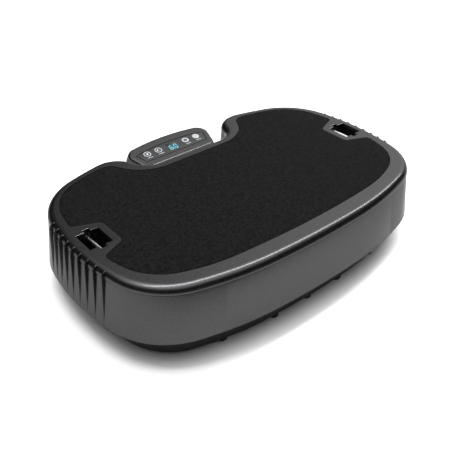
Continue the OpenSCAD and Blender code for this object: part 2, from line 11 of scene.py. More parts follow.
import bpy
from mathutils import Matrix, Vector

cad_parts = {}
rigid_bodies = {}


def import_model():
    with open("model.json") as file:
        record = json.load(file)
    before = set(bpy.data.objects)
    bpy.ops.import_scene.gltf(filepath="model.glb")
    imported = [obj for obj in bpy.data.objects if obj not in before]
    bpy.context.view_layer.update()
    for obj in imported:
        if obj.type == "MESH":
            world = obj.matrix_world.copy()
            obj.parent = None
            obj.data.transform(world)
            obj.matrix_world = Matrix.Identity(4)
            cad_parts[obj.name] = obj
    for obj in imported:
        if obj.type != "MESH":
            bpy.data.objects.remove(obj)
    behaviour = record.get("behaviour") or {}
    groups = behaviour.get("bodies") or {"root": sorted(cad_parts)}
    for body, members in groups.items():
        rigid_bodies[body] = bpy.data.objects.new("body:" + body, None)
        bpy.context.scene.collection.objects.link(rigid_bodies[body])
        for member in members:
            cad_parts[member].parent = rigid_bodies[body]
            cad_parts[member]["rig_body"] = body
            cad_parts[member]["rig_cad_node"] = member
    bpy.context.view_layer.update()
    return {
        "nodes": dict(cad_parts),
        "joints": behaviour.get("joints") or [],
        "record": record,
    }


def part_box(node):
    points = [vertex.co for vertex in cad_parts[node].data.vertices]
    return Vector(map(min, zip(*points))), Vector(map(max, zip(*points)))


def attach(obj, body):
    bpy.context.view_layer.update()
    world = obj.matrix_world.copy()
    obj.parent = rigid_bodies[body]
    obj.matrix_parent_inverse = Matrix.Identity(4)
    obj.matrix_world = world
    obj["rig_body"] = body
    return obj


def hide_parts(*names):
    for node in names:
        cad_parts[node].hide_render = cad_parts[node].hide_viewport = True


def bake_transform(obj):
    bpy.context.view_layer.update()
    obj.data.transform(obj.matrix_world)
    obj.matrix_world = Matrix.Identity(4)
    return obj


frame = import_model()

# %% [markdown]
# ## Measures
# Blender works in metres. The makers of such a machine work in millimetres, so every size here is
# a number of millimetres times mm. Places are read from the frame's own boxes.

# %% Measures from the frame
mm = 0.001
top_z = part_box("top_cover")[1].z
skirt_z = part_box("side_skirt")[0].z
roll_r = 13 * mm
rim_front = -219.5 * mm
deck_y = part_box("top_cover")[0].y - rim_front
crease_z = top_z - roll_r
bar_low, bar_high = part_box("strap_bar_right")
slot_x = (bar_low.x + bar_high.x) / 2 + 1 * mm
slot_y = (bar_low.y + bar_high.y) / 2
print("top of the platform at", round(top_z / mm, 1), "mm, slots at", round(slot_x / mm, 1), "mm")

# %% [markdown]
# ## The hand tools
# Each operator acts on whatever is selected, so a habit helps: select one object alone, then pick
# its corners, edges or faces by where they are. These short helpers do only that.

# %% Select, copy, cut and place
def only(*things):
    """Selects these objects and nothing else."""
    bpy.ops.object.select_all(action="DESELECT")
    for thing in things:
        thing.select_set(True)
    bpy.context.view_layer.objects.active = things[-1]


def pick(thing, kind, test):
    """Opens a piece in edit mode with the vertices, edges or faces selected whose middle passes the test."""
    if bpy.context.mode != "OBJECT":
        bpy.ops.object.mode_set(mode="OBJECT")
    only(thing)
    bpy.context.tool_settings.mesh_select_mode = [kind == name for name in ("VERT", "EDGE", "FACE")]
    bpy.ops.object.mode_set(mode="EDIT")
    bpy.ops.mesh.select_all(action="DESELECT")
    bpy.ops.object.mode_set(mode="OBJECT")
    mesh = thing.data
    found = 0
    if kind == "VERT":
        for corner in mesh.vertices:
            corner.select = bool(test(corner.co))
            found += corner.select
    elif kind == "EDGE":
        for edge in mesh.edges:
            a, b = (mesh.vertices[i].co for i in edge.vertices)
            edge.select = bool(test(a, b))
            found += edge.select
    else:
        for face in mesh.polygons:
            face.select = bool(test(face.center, face.normal))
            found += face.select
    bpy.ops.object.mode_set(mode="EDIT")
    return found


def done():
    """Merges doubles, turns all faces outwards and leaves edit mode."""
    bpy.ops.mesh.select_all(action="SELECT")
    bpy.ops.mesh.remove_doubles(threshold=0.01 * mm)
    bpy.ops.mesh.normals_make_consistent(inside=False)
    bpy.ops.object.mode_set(mode="OBJECT")


def use(thing, kind, **settings):
    """Adds a modifier with these settings and applies it."""
    only(thing)
    modifier = thing.modifiers.new(kind.lower(), kind)
    for name, value in settings.items():
        setattr(modifier, name, value)
    bpy.ops.object.modifier_apply(modifier=modifier.name)


def cut(thing, *cutters):
    """Takes the cutters' shapes out of a piece and throws the cutters away."""
    for cutter in cutters:
        use(thing, "BOOLEAN", operation="DIFFERENCE", solver="MANIFOLD", object=cutter)
        bpy.data.objects.remove(cutter)


def copy_of(thing, name):
    """A copy with a mesh of its own."""
    only(thing)
    bpy.ops.object.duplicate(linked=False)
    bpy.context.object.name = name
    return bpy.context.object


def place(thing, move=(0, 0, 0), turn=(0, 0, 0)):
    """Turns and moves a piece, and puts the change into its mesh."""
    thing.rotation_euler = turn
    thing.location = move
    only(thing)
    bpy.ops.object.transform_apply(location=True, rotation=True, scale=True)


def smooth(thing, degrees=30):
    """Shades a piece smooth, apart from edges sharper than this."""
    only(thing)
    bpy.ops.object.shade_smooth_by_angle(angle=math.radians(degrees))


# %% [markdown]
# ## Sweeping a section round the rim
# The rim is a chain of arcs, as a pattern maker would scribe it: each arc has a radius and a turn,
# and a hollow arc has a negative radius. A wire in the shape of the section is started from a plane
# merged to one point, extruded from corner to corner, and then spun round each arc's centre in turn.
# Spinning keeps the section square to the rim, which a lattice or a scaled copy wouldn't. Only the
# right half is swept, and a mirror makes the left.

# %% Wire, spin and mirror
rim_arcs = [(1800, 3), (600, 14), (125, 61), (475, 23), (130, 61), (600, 6.6), (54, 85.4), (-42, 74)]
mat_arcs = [(1750, 5), (300, 17.4), (97, 53), (384, 28), (98, 56.3), (323, 12), (25, 76.8), (-83, 68.5)]
mat_front = -180.5 * mm
console_arcs = [(0, 72), (16, 74), (0, 28), (24, 96), (434, 10)]


def left_of(heading):
    return Vector((-math.sin(heading), math.cos(heading), 0))


def wire(name, points):
    """A new wire through these points, left in edit mode with all of it selected."""
    bpy.ops.object.select_all(action="DESELECT")
    bpy.ops.mesh.primitive_plane_add(size=mm)
    bpy.context.object.name = name
    bpy.context.tool_settings.mesh_select_mode = [True, False, False]
    bpy.ops.object.mode_set(mode="EDIT")
    bpy.ops.mesh.select_all(action="SELECT")
    bpy.ops.mesh.merge(type="CENTER")
    bpy.ops.transform.translate(value=points[0])
    for here, there in zip(points, points[1:]):
        step = Vector(there) - Vector(here)
        bpy.ops.mesh.extrude_vertices_move(TRANSFORM_OT_translate={"value": step})
    bpy.ops.mesh.select_all(action="SELECT")
    return bpy.context.object


def follow(arcs, start, segment=7):
    """Spins the selected wire round a chain of arcs that starts at (0, start), and ends it at x = 0."""
    here, heading = Vector((0, start, 0)), 0.0
    for radius, turn in arcs:
        if radius == 0:
            step = turn * mm * Vector((math.cos(heading), math.sin(heading), 0))
            bpy.ops.mesh.extrude_region_move(TRANSFORM_OT_translate={"value": step})
            here = here + step
            continue
        side = math.copysign(1, radius)
        sweep = math.radians(turn)
        centre = here + radius * mm * left_of(heading)
        steps = max(3, round(abs(radius) * sweep / segment))
        # with no window, a positive spin turns clockwise as seen from above
        bpy.ops.mesh.spin(steps=steps, angle=-side * sweep, center=centre, axis=(0, 0, 1))
        heading += side * sweep
        here = centre - radius * mm * left_of(heading)
    if here.x > 0.1 * mm:
        bpy.ops.mesh.extrude_region_move(TRANSFORM_OT_translate={"value": (-here.x, 0, 0)})
    return here


def swept(name, section, arcs, start, segment=7):
    """A section of (distance outwards, height) points swept right round a mirrored chain of arcs."""
    piece = wire(name, [(0, start - out, height) for out, height in section])
    follow(arcs, start, segment)
    done()
    use(piece, "MIRROR", use_axis=(True, False, False), merge_threshold=0.05 * mm)
    return piece


def arc_section(centre_out, centre_z, radius, first, last, steps):
    """Points of an arc in a section, from one angle to the other, in degrees."""
    angles = [math.radians(first + (last - first) * k / steps) for k in range(steps + 1)]
    return [(centre_out + radius * math.cos(a), centre_z + radius * math.sin(a)) for a in angles]


def cap_ends(thing):
    """Fills the two open loops of a swept section."""
    pick(thing, "VERT", lambda co: True)
    bpy.ops.mesh.fill_holes(sides=0)
    done()


print("rim of", len(rim_arcs), "arcs a side")

# %% [markdown]
# ## The platform's cover
# On the real machine this is one ABS moulding: a flat ring round the mat that rolls over a 13 mm
# radius and stops at a shadow line above the skirt. The roll decides how the whole object catches
# the light, so it is swept with many more steps than the frame's model has.

# %% Sweep the cover
lip = 0.6 * mm
section = [(-4 * mm, top_z - 7 * mm), (-4 * mm, crease_z - lip), (-1.5 * mm, crease_z - lip),
           (-1.5 * mm, crease_z), (-0.3 * mm, crease_z)]
section += arc_section(-roll_r, crease_z, roll_r, 4, 90, 16)
section += [(-roll_r - 1.5 * mm, top_z)]
cover = swept("platform_cover", section, rim_arcs, rim_front)
cap_ends(cover)
print("cover has", len(cover.data.polygons), "faces")

# %% [markdown]
# ## The mat
# The mat lies in a recess of the same shape, 0.8 mm wider all round, so one function makes both the
# mat and the tool that cuts its recess. It is swept like the cover. Round each strap slot the mat is
# cut back to a trapezoid, and where the cut meets the end of the mat the corner is rounded. The
# cutting tool itself is drawn with those curves, since a bevel has no room among an arc's short edges.

# %% A prism, and the room left free round a slot
def prism(name, points, low, high):
    """A closed outline filled and raised from low to high."""
    block = wire(name, [(x, y, low) for x, y in points])
    bpy.ops.mesh.edge_face_add()
    bpy.ops.mesh.extrude_region_move(TRANSFORM_OT_translate={"value": (0, 0, high - low)})
    done()
    return block


def is_upright(a, b):
    return (a - b).xy.length < 0.01 * mm


def round_uprights(thing, radius, test, segments=6):
    """Rounds the vertical edges that pass the test. The bevel's offset is set along the sides."""
    pick(thing, "EDGE", lambda a, b: is_upright(a, b) and test(a))
    bpy.ops.mesh.bevel(offset=radius, segments=segments, affect="EDGES")
    done()


def end_centre(arcs, start):
    """The middle of the fourth arc of an outline, which is its end. Found by walking the chain."""
    here, heading = Vector((0, start, 0)), 0.0
    for radius, turn in arcs[:4]:
        centre = here + radius * mm * left_of(heading)
        heading += math.radians(turn)
        here = centre - radius * mm * left_of(heading)
    return centre


corner_r = 9 * mm


def room_side(grow, side):
    """One slanting side of the room, with the curve that rounds the mat's corner."""
    middle, radius = end_centre(mat_arcs, mat_front), mat_arcs[3][0] * mm + grow
    inner = Vector((slot_x - 34 * mm + grow, slot_y - deck_y + side * (33 * mm - grow), 0))
    along = Vector((85, side * 35, 0)).normalized()
    to_inner = inner - middle
    beside = to_inner.dot(along)
    reach = -beside + math.sqrt(beside ** 2 - to_inner.length_squared + radius ** 2)
    corner = inner + reach * along
    out = (corner - middle).normalized()
    tangent = side * Vector((-out.y, out.x, 0))
    half = (-along).angle(tangent) / 2
    start = corner - (corner_r / math.tan(half)) * along
    pivot = start + side * corner_r * Vector((-along.y, along.x, 0))
    turn = math.pi - 2 * half
    curve = []
    for k in range(7):
        a = side * turn * k / 6
        arm = start - pivot
        curve.append(pivot + Vector((arm.x * math.cos(a) - arm.y * math.sin(a),
                                     arm.x * math.sin(a) + arm.y * math.cos(a), 0)))
    return [inner] + curve + [curve[-1] + Vector((40 * mm, 0, 0))]


def slot_room(grow, low, high):
    """The trapezoid left free round the right-hand slot."""
    outline = room_side(grow, -1)[::-1] + room_side(grow, 1)
    room = prism("room", [(point.x, point.y) for point in outline], low, high)
    round_uprights(room, 6.5 * mm, lambda co: abs(co.x - (slot_x - 34 * mm + grow)) < 0.1 * mm)
    return room


def mat_shape(name, section, grow):
    """A section swept round the mat's outline, with the room round both slots cut away."""
    shape = swept(name, section, mat_arcs, mat_front, segment=9)
    cap_ends(shape)
    low, high = section[0][1] - mm, section[-1][1] + mm
    right = slot_room(grow, low, high)
    left = copy_of(right, "room_left")
    left.scale.x = -1
    place(left)
    pick(left, "FACE", lambda centre, normal: True)
    done()
    cut(shape, right, left)
    return shape


mat_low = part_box("foot_mat")[0].z
mat_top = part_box("foot_mat")[1].z
mat_section = [(-6 * mm, mat_low), (0, mat_low), (0, mat_top - 0.8 * mm), (-0.25 * mm, mat_top - 0.3 * mm),
               (-0.8 * mm, mat_top), (-6 * mm, mat_top)]
mat = mat_shape("platform_mat", mat_section, 0)
place(mat, move=(0, deck_y, 0))
smooth(mat, 40)
print("mat has", len(mat.data.polygons), "faces")

# %% Cut the recess and the strap slots out of the cover
gap = 0.8 * mm
cut(cover, mat_shape("recess", [(-6 * mm, mat_low), (gap, mat_low), (gap, top_z + 5 * mm),
                                (-6 * mm, top_z + 5 * mm)], gap))


def box_at(name, centre, size):
    """A box given by its middle and its size."""
    bpy.ops.object.select_all(action="DESELECT")
    bpy.ops.mesh.primitive_cube_add(size=1, location=centre)
    block = bpy.context.object
    block.name = name
    block.scale = size
    bpy.ops.object.transform_apply(location=True, rotation=True, scale=True)
    return block


slot_size = Vector((41, 46, 30)) * mm
tab_size = Vector((11, 60, 30)) * mm
for side in (-1, 1):
    cut(cover, box_at("slot", (side * slot_x, slot_y - deck_y, top_z), slot_size),
        box_at("tabs", (side * (slot_x - mm), slot_y - deck_y, top_z), tab_size))
place(cover, move=(0, deck_y, 0))


def on_slot_edge(a, b):
    level = abs(a.z - top_z) < 1e-6 and abs(b.z - top_z) < 1e-6
    middle = (a + b) / 2
    return level and abs(abs(middle.x) - slot_x) < 21 * mm and abs(middle.y - slot_y) < 30.5 * mm


found = pick(cover, "EDGE", on_slot_edge)
bpy.ops.mesh.bevel(offset=0.7 * mm, segments=2, affect="EDGES")
done()
smooth(cover, 25)
print("rounded", found, "slot edges; cover has", len(cover.data.polygons), "faces")

# %% [markdown]
# ## The skirt
# A second moulding hangs below the cover and leans outwards to the floor. Its section is a thin wall
# with a flange at the top and a small round at the lower lip. The wall leans a little more at the two
# ends, so its lower rings are stretched along X after the sweep.

# %% Sweep the skirt
flare, more_at_ends, wall = 7.5 * mm, 3.5 * mm, 3 * mm
flange_z = crease_z - lip
section = [(-11 * mm, flange_z), (-1.4 * mm, flange_z), (-0.8 * mm, flange_z - 0.25 * mm),
           (-0.55 * mm, flange_z - 0.9 * mm), (flare, skirt_z + 1.2 * mm),
           (flare - 0.3 * mm, skirt_z + 0.35 * mm), (flare - 1 * mm, skirt_z),
           (flare - wall + 0.5 * mm, skirt_z), (flare - wall, skirt_z + 0.8 * mm),
           (-0.6 * mm - wall, flange_z - wall), (-11 * mm, flange_z - wall), (-11 * mm, flange_z)]
skirt = swept("platform_skirt", section, rim_arcs, rim_front)
pick(skirt, "VERT", lambda co: co.z < skirt_z + 2 * mm)
bpy.ops.transform.resize(value=(1 + more_at_ends / (335 * mm), 1, 1), center_override=(0, 0, 0))
done()
place(skirt, move=(0, deck_y, 0))
smooth(skirt, 25)
print("skirt has", len(skirt.data.polygons), "faces")

# %% [markdown]
# ## The end fins
# Nine thin fins stand on each end and run from the roll down to the lip. One fin is drawn from the
# side, given its thickness, and its rim is rounded so that it can catch a highlight. The others are
# copies turned round the middle of the end's large arc.

# %% Model one fin and copy it
end_r, fin_t, fin_pitch = 475 * mm, 2.6 * mm, 20.5 * mm
lean = flare + more_at_ends
outer = [(-7.5, top_z / mm - 1.9), (-5.6, top_z / mm - 1.1), (-3.6, top_z / mm - 1.4),
         (0.2, top_z / mm - 4.3), (2.8, top_z / mm - 7.6), (4.2, top_z / mm - 11), (4.7, crease_z / mm - 2),
         (lean / mm - 0.3, skirt_z / mm + 5), (lean / mm - 1.6, skirt_z / mm + 2.2)]
inner = [(-1.6, crease_z / mm - 3), (-5, crease_z / mm + 4)]
fin = wire("end_fins", [(x * mm, 0, z * mm) for x, z in outer + inner])
bpy.ops.mesh.edge_face_add()
bpy.ops.transform.translate(value=(0, -fin_t / 2, 0))
bpy.ops.mesh.extrude_region_move(TRANSFORM_OT_translate={"value": (0, fin_t, 0)})
done()
pick(fin, "EDGE", lambda a, b: abs(a.y - b.y) < 1e-6 and min(a.x - (a.z - skirt_z) * -0.1, b.x) > -6.2 * mm)
bpy.ops.mesh.bevel(offset=0.9 * mm, segments=3, affect="EDGES")
done()
centre = end_centre(rim_arcs, rim_front)
middle = math.asin((slot_y - deck_y + mm - centre.y) / end_r)
fins = []
for number in range(-4, 5):
    one = copy_of(fin, "fin")
    angle = middle + number * fin_pitch / end_r
    place(one, move=(end_r, 0, 0))
    place(one, move=(centre.x, centre.y + deck_y, 0), turn=(0, 0, angle))
    fins.append(one)
bpy.data.objects.remove(fin)
only(*fins)
bpy.ops.object.join()
fins = bpy.context.object
fins.name = "end_fins"
use(fins, "MIRROR", use_axis=(True, False, False), use_mirror_merge=False)
smooth(fins, 35)
print("fins have", len(fins.data.polygons), "faces")

# %% [markdown]
# ## The console
# The console is a pod with a face that leans towards the user. It is modelled flat, with its face at
# height 0, and tilted into place at the end. The tilt comes from the direction in which its keys
# travel, so the pod and the keys can't disagree.

# %% Place of the console
press = [joint for joint in frame["joints"] if joint["child"] == "start_key"][0]["axis"]
tilt = math.atan2(press[1], -press[2])
console_at = Vector((0, deck_y + 197 * mm, top_z - 17 * mm))


def to_console(thing):
    place(thing, move=console_at, turn=(tilt, 0, 0))


def dome(name, points, low, high, edge, segments=3):
    """A prism whose upper rim is rounded."""
    block = prism(name, points, low, high)
    pick(block, "EDGE", lambda a, b: abs(a.z - high) < 1e-6 and abs(b.z - high) < 1e-6)
    bpy.ops.mesh.bevel(offset=edge, segments=segments, affect="EDGES")
    done()
    return block


print("console leans", round(math.degrees(tilt), 1), "degrees")

# %% [markdown]
# The housing is swept like the cover. Its upper edge has a 6 mm round, which is what draws the bright
# line along its front. The panel's recess, the window and the key holes are cut afterwards.

# %% Housing
edge_r = 6 * mm
section = [(-2.5 * mm, -3.2 * mm), (-2.5 * mm, -16 * mm), (2.5 * mm, -16 * mm), (2.85 * mm, -15.5 * mm)]
section += arc_section(-edge_r, -edge_r, edge_r, 0, 90, 9) + [(-edge_r - 1.2 * mm, 0)]
housing = swept("console_pod", section, console_arcs, -34.5 * mm, segment=2.5)
cap_ends(housing)


def panel_outline(grow):
    """Clipped corners at the front and a bowed edge at the back, moved outwards by grow."""
    half_back, bow_y = 81.5 * mm + grow, 17.4 * mm + grow
    bow = [half_back * (1 - k / 6) for k in range(1, 12)]
    back = [(x, bow_y - 8.3 * mm * (x / (81.5 * mm)) ** 2) for x in bow]
    front = 73 * mm + 0.7 * grow
    return [(-front, -15.7 * mm - grow), (front, -15.7 * mm - grow), (half_back, 9.1 * mm)] + back + [
        (-half_back, 9.1 * mm)]


key_x = [(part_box(name)[0].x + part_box(name)[1].x) / 2
         for name in ("start_key", "program_key", "intensity_key", "time_key")]
key_y = 3 * mm
gasket_w = 1.7 * mm
panel_gap = 0.7 * mm
cut(housing, prism("recess", panel_outline(gasket_w), -1.5 * mm, 2 * mm))
cut(housing, box_at("window", (0, 0.5 * mm, -3 * mm), (22 * mm, 17 * mm, 12 * mm)))


def disc(name, x, radius, low, high, corners=48):
    bpy.ops.object.select_all(action="DESELECT")
    bpy.ops.mesh.primitive_cylinder_add(vertices=corners, radius=radius, depth=high - low,
                                        location=(x, key_y, (high + low) / 2))
    bpy.context.object.name = name
    bpy.ops.object.transform_apply(location=True, rotation=True, scale=True)
    return bpy.context.object


for x in key_x:
    cut(housing, disc("hole", x, 4.3 * mm, -8 * mm, 2 * mm, 32))
to_console(housing)
smooth(housing, 25)
print("housing has", len(housing.data.polygons), "faces")

# %% [markdown]
# The panel is a separate grey inlay. A thin black gasket fills the gap round it. The window is a dark
# lens, and two digits made of seven bars each show through it, as on a bedside clock.

# %% Panel, gasket and window
panel = dome("console_panel", panel_outline(-panel_gap), -1.5 * mm, -0.1 * mm, 0.25 * mm)
cut(panel, box_at("window", (0, 0.5 * mm, 0), (24 * mm, 20 * mm, 8 * mm)))
for x in key_x:
    cut(panel, disc("hole", x, 8 * mm, -3 * mm, 2 * mm))
to_console(panel)
smooth(panel)

gasket = prism("panel_gasket", panel_outline(gasket_w - 0.05 * mm), -1.5 * mm, -0.2 * mm)
cut(gasket, prism("inside", panel_outline(0.05 * mm - panel_gap), -3 * mm, 1 * mm))
to_console(gasket)
smooth(gasket)

lens_y, lens_w, lens_h = 0.5 * mm, 23.6 * mm, 19.6 * mm
lens = box_at("display_lens", (0, lens_y, -0.9 * mm), (lens_w, lens_h, 1.2 * mm))
pick(lens, "EDGE", lambda a, b: a.z > -mm and b.z > -mm)
bpy.ops.mesh.bevel(offset=0.4 * mm, segments=3, affect="EDGES")
done()
to_console(lens)
smooth(lens)

# %% Two lit digits
bar_w, digit_w, digit_h = 1.9 * mm, 7.6 * mm, 13.4 * mm
bars = {"top": (0, 1, 0), "middle": (0, 0, 0), "bottom": (0, -1, 0), "left_up": (-1, 0.5, 1),
        "right_up": (1, 0.5, 1), "left_low": (-1, -0.5, 1), "right_low": (1, -0.5, 1)}
shown = {-5.2 * mm: ["top", "middle", "bottom", "left_up", "left_low", "right_low"],
         5.2 * mm: ["top", "bottom", "left_up", "right_up", "left_low", "right_low"]}
lit = []
for digit_x, names in shown.items():
    for name in names:
        across, up, upright = bars[name]
        length = (digit_h / 2 if upright else digit_w) - 1.1 * bar_w
        size = (bar_w, length, 0.1 * mm) if upright else (length, bar_w, 0.1 * mm)
        at = (digit_x + across * (digit_w - bar_w) / 2, up * (digit_h - bar_w) / 2 - 2.1 * mm, -0.22 * mm)
        bar = box_at("bar", at, size)
        pick(bar, "EDGE", is_upright)
        bpy.ops.mesh.bevel(offset=0.7 * mm, segments=1, affect="EDGES")
        done()
        lit.append(bar)
only(*lit)
bpy.ops.object.join()
digits = bpy.context.object
digits.name = "display_digits"
to_console(digits)
print("two digits of", len(lit), "bars")

# %% [markdown]
# ## The keys
# Each key is a low round cap. The first two carry a pale ring round a dark middle, the third a wider
# ring, and the last is pale all over. The cap is a cylinder: its top is inset once, the inner face is
# sunk a little and the rim is rounded. Symbols are thin raised shapes, and no lettering is used.

# %% Model the four keys
def key_cap(name, x, ring_w):
    """A cap with a raised ring of the given width round a sunk middle, or flat all over where it is 0."""
    radius = 7.6 * mm
    cap = disc(name, x, radius, -0.7 * mm, 0.7 * mm)
    if ring_w:
        pick(cap, "FACE", lambda centre, normal: normal.z > 0.9)
        bpy.ops.mesh.inset(thickness=ring_w)
        bpy.ops.mesh.extrude_region_move(TRANSFORM_OT_translate={"value": (0, 0, -0.25 * mm)})
        done()
    pick(cap, "EDGE", lambda a, b: a.z > 0.6 * mm and b.z > 0.6 * mm)
    bpy.ops.mesh.bevel(offset=0.2 * mm, segments=2, affect="EDGES")
    done()
    stem = disc(name + "_stem", x, 4 * mm, -5.3 * mm, -0.7 * mm, 32)
    only(stem, cap)
    bpy.ops.object.join()
    return cap


caps = {"start_key": key_cap("start_cap", key_x[0], 1.3 * mm),
        "program_key": key_cap("program_cap", key_x[1], 1.3 * mm),
        "intensity_key": key_cap("intensity_cap", key_x[2], 3.6 * mm),
        "time_key": key_cap("time_cap", key_x[3], 0)}
sunk = 0.45 * mm
side = 2.6 * mm
play_left, play_right = key_x[0] - 0.5 * side, key_x[0] + side
play = prism("start_symbol", [(play_left, key_y - side), (play_right, key_y), (play_left, key_y + side)],
             sunk, 0.65 * mm)
page_left, page_right = key_x[1] - side, key_x[1] - 0.2 * side
page_front, page_back = key_y - 0.3 * side, key_y + 0.7 * side
page = prism("program_symbol", [(page_left, page_front), (page_right, page_front),
                                (page_right, page_back), (page_left, page_back)], sunk, 0.6 * mm)
symbols = {"start_key": play, "program_key": page}
for thing in list(caps.values()) + list(symbols.values()):
    to_console(thing)
    smooth(thing)

# %% [markdown]
# Below each key the real panel has a printed caption. Plain rows of short dashes stand for the
# captions here, so the panel has the same rhythm and says nothing.

# %% Caption dashes
dashes = []
for x in key_x:
    for column in range(4):
        at = (x + (column - 1.5) * 3.1 * mm, key_y - 11.2 * mm, -0.075 * mm)
        dashes.append(box_at("dash", at, (2.2 * mm, 1.5 * mm, 0.05 * mm)))
only(*dashes)
bpy.ops.object.join()
captions = bpy.context.object
captions.name = "panel_dashes"
to_console(captions)
print(len(dashes), "dashes")

# %% [markdown]
# ## Parts carried over from the frame
# The base, the tower and the small fittings have the right shape already. They only lack the small
# radius that every moulding has. A copy of each is merged, because the frame's meshes are loose
# triangles, its flat areas are made whole again, and a narrow bevel breaks its edges.

# %% Break the edges of the mouldings
def softened(node, edge):
    """A copy of a node with its edges broken, which stands in for the node."""
    piece = copy_of(frame["nodes"][node], node + "_moulded")
    piece.parent = None
    piece.data.materials.clear()
    pick(piece, "VERT", lambda co: True)
    bpy.ops.mesh.remove_doubles(threshold=0.005 * mm)
    bpy.ops.mesh.dissolve_limited(angle_limit=math.radians(0.5))
    bpy.ops.object.mode_set(mode="OBJECT")
    use(piece, "BEVEL", width=edge, segments=2, limit_method="ANGLE", angle_limit=math.radians(40))
    smooth(piece, 35)
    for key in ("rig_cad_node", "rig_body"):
        if key in piece:
            del piece[key]
    return piece


soft_edges = {"base_pan": 0.6, "rubber_feet": 0.8, "console_tower": 0.5, "console_tray": 0.5,
              "power_inlet": 0.35, "fuse_drawer": 0.3, "switch_frame": 0.3, "switch_rocker": 0.3,
              "strap_cup_left": 0.5, "strap_cup_right": 0.5}
moulded = {node: softened(node, edge * mm) for node, edge in soft_edges.items()}
print("softened", len(moulded), "nodes")

# %% [markdown]
# The platform stands on four rubber mounts. A mount's lower face is bonded to the base and its upper
# face to the platform, so it squashes as the platform shakes. Here the mounts are one softened copy that
# follows neither body.

# %% Rubber mounts
mount_rubbers = softened("isolator_mounts", 0.6 * mm)

# %% [markdown]
# ## Finishes
# Every finish is a node material that reads Object coordinates, so its grain has a real size. Colours
# are chosen as sRGB hex values, and one function turns them to the linear values that shaders need.

# %% Colour and node helpers
def linear(hex_colour):
    """An sRGB hex colour as linear RGBA."""
    parts = [int(hex_colour[i:i + 2], 16) / 255 for i in (1, 3, 5)]
    return [c / 12.92 if c <= 0.04045 else ((c + 0.055) / 1.055) ** 2.4 for c in parts] + [1]


def add(tree, kind, inputs=None, **settings):
    """Adds a node with its settings. An input is given a value, or another node's socket to link."""
    node = tree.nodes.new("ShaderNode" + kind)
    for name, value in settings.items():
        setattr(node, name, value)
    for name, value in (inputs or {}).items():
        if isinstance(value, bpy.types.NodeSocket):
            tree.links.new(value, node.inputs[name])
        else:
            node.inputs[name].default_value = value
    return node


def grain(tree, size, detail=3, roughness=0.6):
    """Noise with lumps of about this size, from the piece's own coordinates."""
    place_on_piece = add(tree, "TexCoord").outputs["Object"]
    return add(tree, "TexNoise", {"Vector": place_on_piece, "Scale": 1 / size, "Detail": detail,
                                  "Roughness": roughness}).outputs["Fac"]


def blended(tree, amount, dark, pale, start=0.35, stop=0.65):
    """Runs from one colour to another as amount goes from start to stop."""
    ramp = add(tree, "ValToRGB", {"Fac": amount})
    ramp.color_ramp.elements[0].position = start
    ramp.color_ramp.elements[1].position = stop
    ramp.color_ramp.elements[0].color = linear(dark)
    ramp.color_ramp.elements[1].color = linear(pale)
    return ramp.outputs["Color"]


def levels(tree, amount, low, high):
    """Spreads a 0 to 1 value between low and high."""
    return add(tree, "MapRange", {"Value": amount, "From Min": 0.3, "From Max": 0.7, "To Min": low,
                                  "To Max": high}).outputs["Result"]


def finish_of(name, dark, pale, size, rough, bump, detail=3, more=None):
    """A finish with mottled colour, uneven roughness and a fine relief, all from one grain."""
    material = bpy.data.materials.new(name)
    material.use_nodes = True
    tree = material.node_tree
    tree.nodes.clear()
    mottle = grain(tree, size, detail)
    relief = add(tree, "Bump", {"Height": mottle, "Strength": 1.0, "Distance": bump})
    inputs = {"Base Color": blended(tree, mottle, dark, pale), "Roughness": levels(tree, mottle, *rough),
              "Normal": relief.outputs["Normal"]}
    inputs.update(more or {})
    surface = add(tree, "BsdfPrincipled", inputs)
    add(tree, "OutputMaterial", {"Surface": surface.outputs["BSDF"]})
    return material


# %% [markdown]
# The shell is ABS sprayed with a graphite metallic paint. Metal flakes under a thin clear layer make
# it darken and lighten in broad sweeps, and give it a very fine sparkle.

# %% Finishes of the shell, mat and mouldings
graphite = finish_of("graphite_metallic_paint", "#363637", "#424243", 1.6 * mm, (0.3, 0.36), 0.0012 * mm,
                     more={"Metallic": 0.97, "Specular Tint": linear("#b4b4b4"), "Coat Weight": 0.2,
                           "Coat Roughness": 0.1})
# EVA foam with an open skin: nearly black, dull, with a coarse mottle that shows from afar
foam = finish_of("black_eva_foam", "#020202", "#141414", 4.2 * mm, (0.85, 1.0), 0.25 * mm, detail=5,
                 more={"Specular IOR Level": 0.06})
# spark-eroded black ABS: a dull dark face with a soft sheen
moulded_black = finish_of("black_moulded_abs", "#060606", "#0e0e0e", 0.9 * mm, (0.45, 0.6), 0.02 * mm,
                          more={"Specular IOR Level": 0.3})
# the same black plastic made darker and almost without reflection: painted shade for the strap cups in the
# slots and the gap round the panel
black_abs_painted_shade = finish_of("black_abs_with_painted_shade", "#050505", "#0c0c0c", 0.9 * mm, (0.5, 0.7), 0.02 * mm,
                       more={"Specular IOR Level": 0.1})
# natural rubber: greyer than the plastic and without any gloss
rubber = finish_of("black_natural_rubber", "#0b0b0b", "#191919", 1.2 * mm, (0.75, 0.95), 0.04 * mm)
# grey ink under a satin film: even, with a weak wide highlight
panel_grey = finish_of("panel_satin_print", "#191a1b", "#202122", 1.2 * mm, (0.4, 0.5), 0.003 * mm,
                       more={"Specular IOR Level": 0.25})
# smoked acrylic: the one glossy face of the pod, almost black
lens_black = finish_of("smoked_acrylic", "#020304", "#05070a", 6 * mm, (0.06, 0.1), 0.0,
                       more={"Coat Weight": 0.4})
# silver paint, grey paint and bare dark plastic on the keys: three steps that set the rings apart
key_pale = finish_of("key_silver_paint", "#a2a3a5", "#b6b7b9", 0.8 * mm, (0.35, 0.45), 0.003 * mm)
key_grey = finish_of("key_grey_paint", "#838486", "#929396", 0.8 * mm, (0.35, 0.45), 0.003 * mm)
key_dark = finish_of("key_dark_abs", "#232425", "#303133", 0.8 * mm, (0.4, 0.5), 0.003 * mm)
